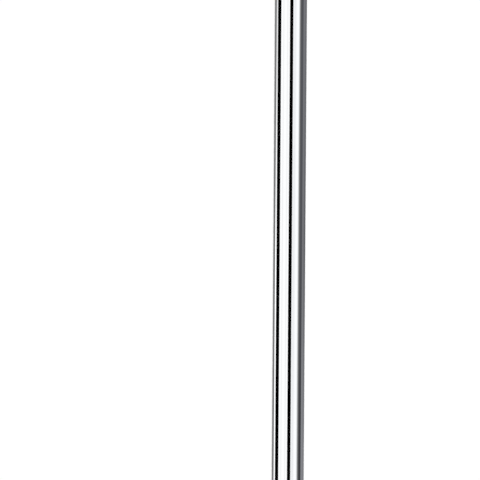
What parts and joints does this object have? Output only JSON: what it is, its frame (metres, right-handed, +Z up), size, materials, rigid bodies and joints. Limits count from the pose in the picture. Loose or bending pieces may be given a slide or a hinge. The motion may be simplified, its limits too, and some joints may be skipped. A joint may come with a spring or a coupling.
{
  "type": "linear shaft",
  "caption": "Plain round linear shaft, hard chromed and ground, with chamfered ends, for linear bearings and bushings to slide on.",
  "frame": {"origin": "on the shaft's axis, halfway between its two end faces", "axes": "+X along the shaft's axis and +Z up, with the shaft lying on its side; it touches the floor half its diameter below the origin"},
  "size_m": [0.4, 0.016, 0.016],
  "materials": {
    "hard_chrome": "polished"
  },
  "bodies": {
    "root": {"shaft": "hard_chrome"}
  },
  "joints": []
}
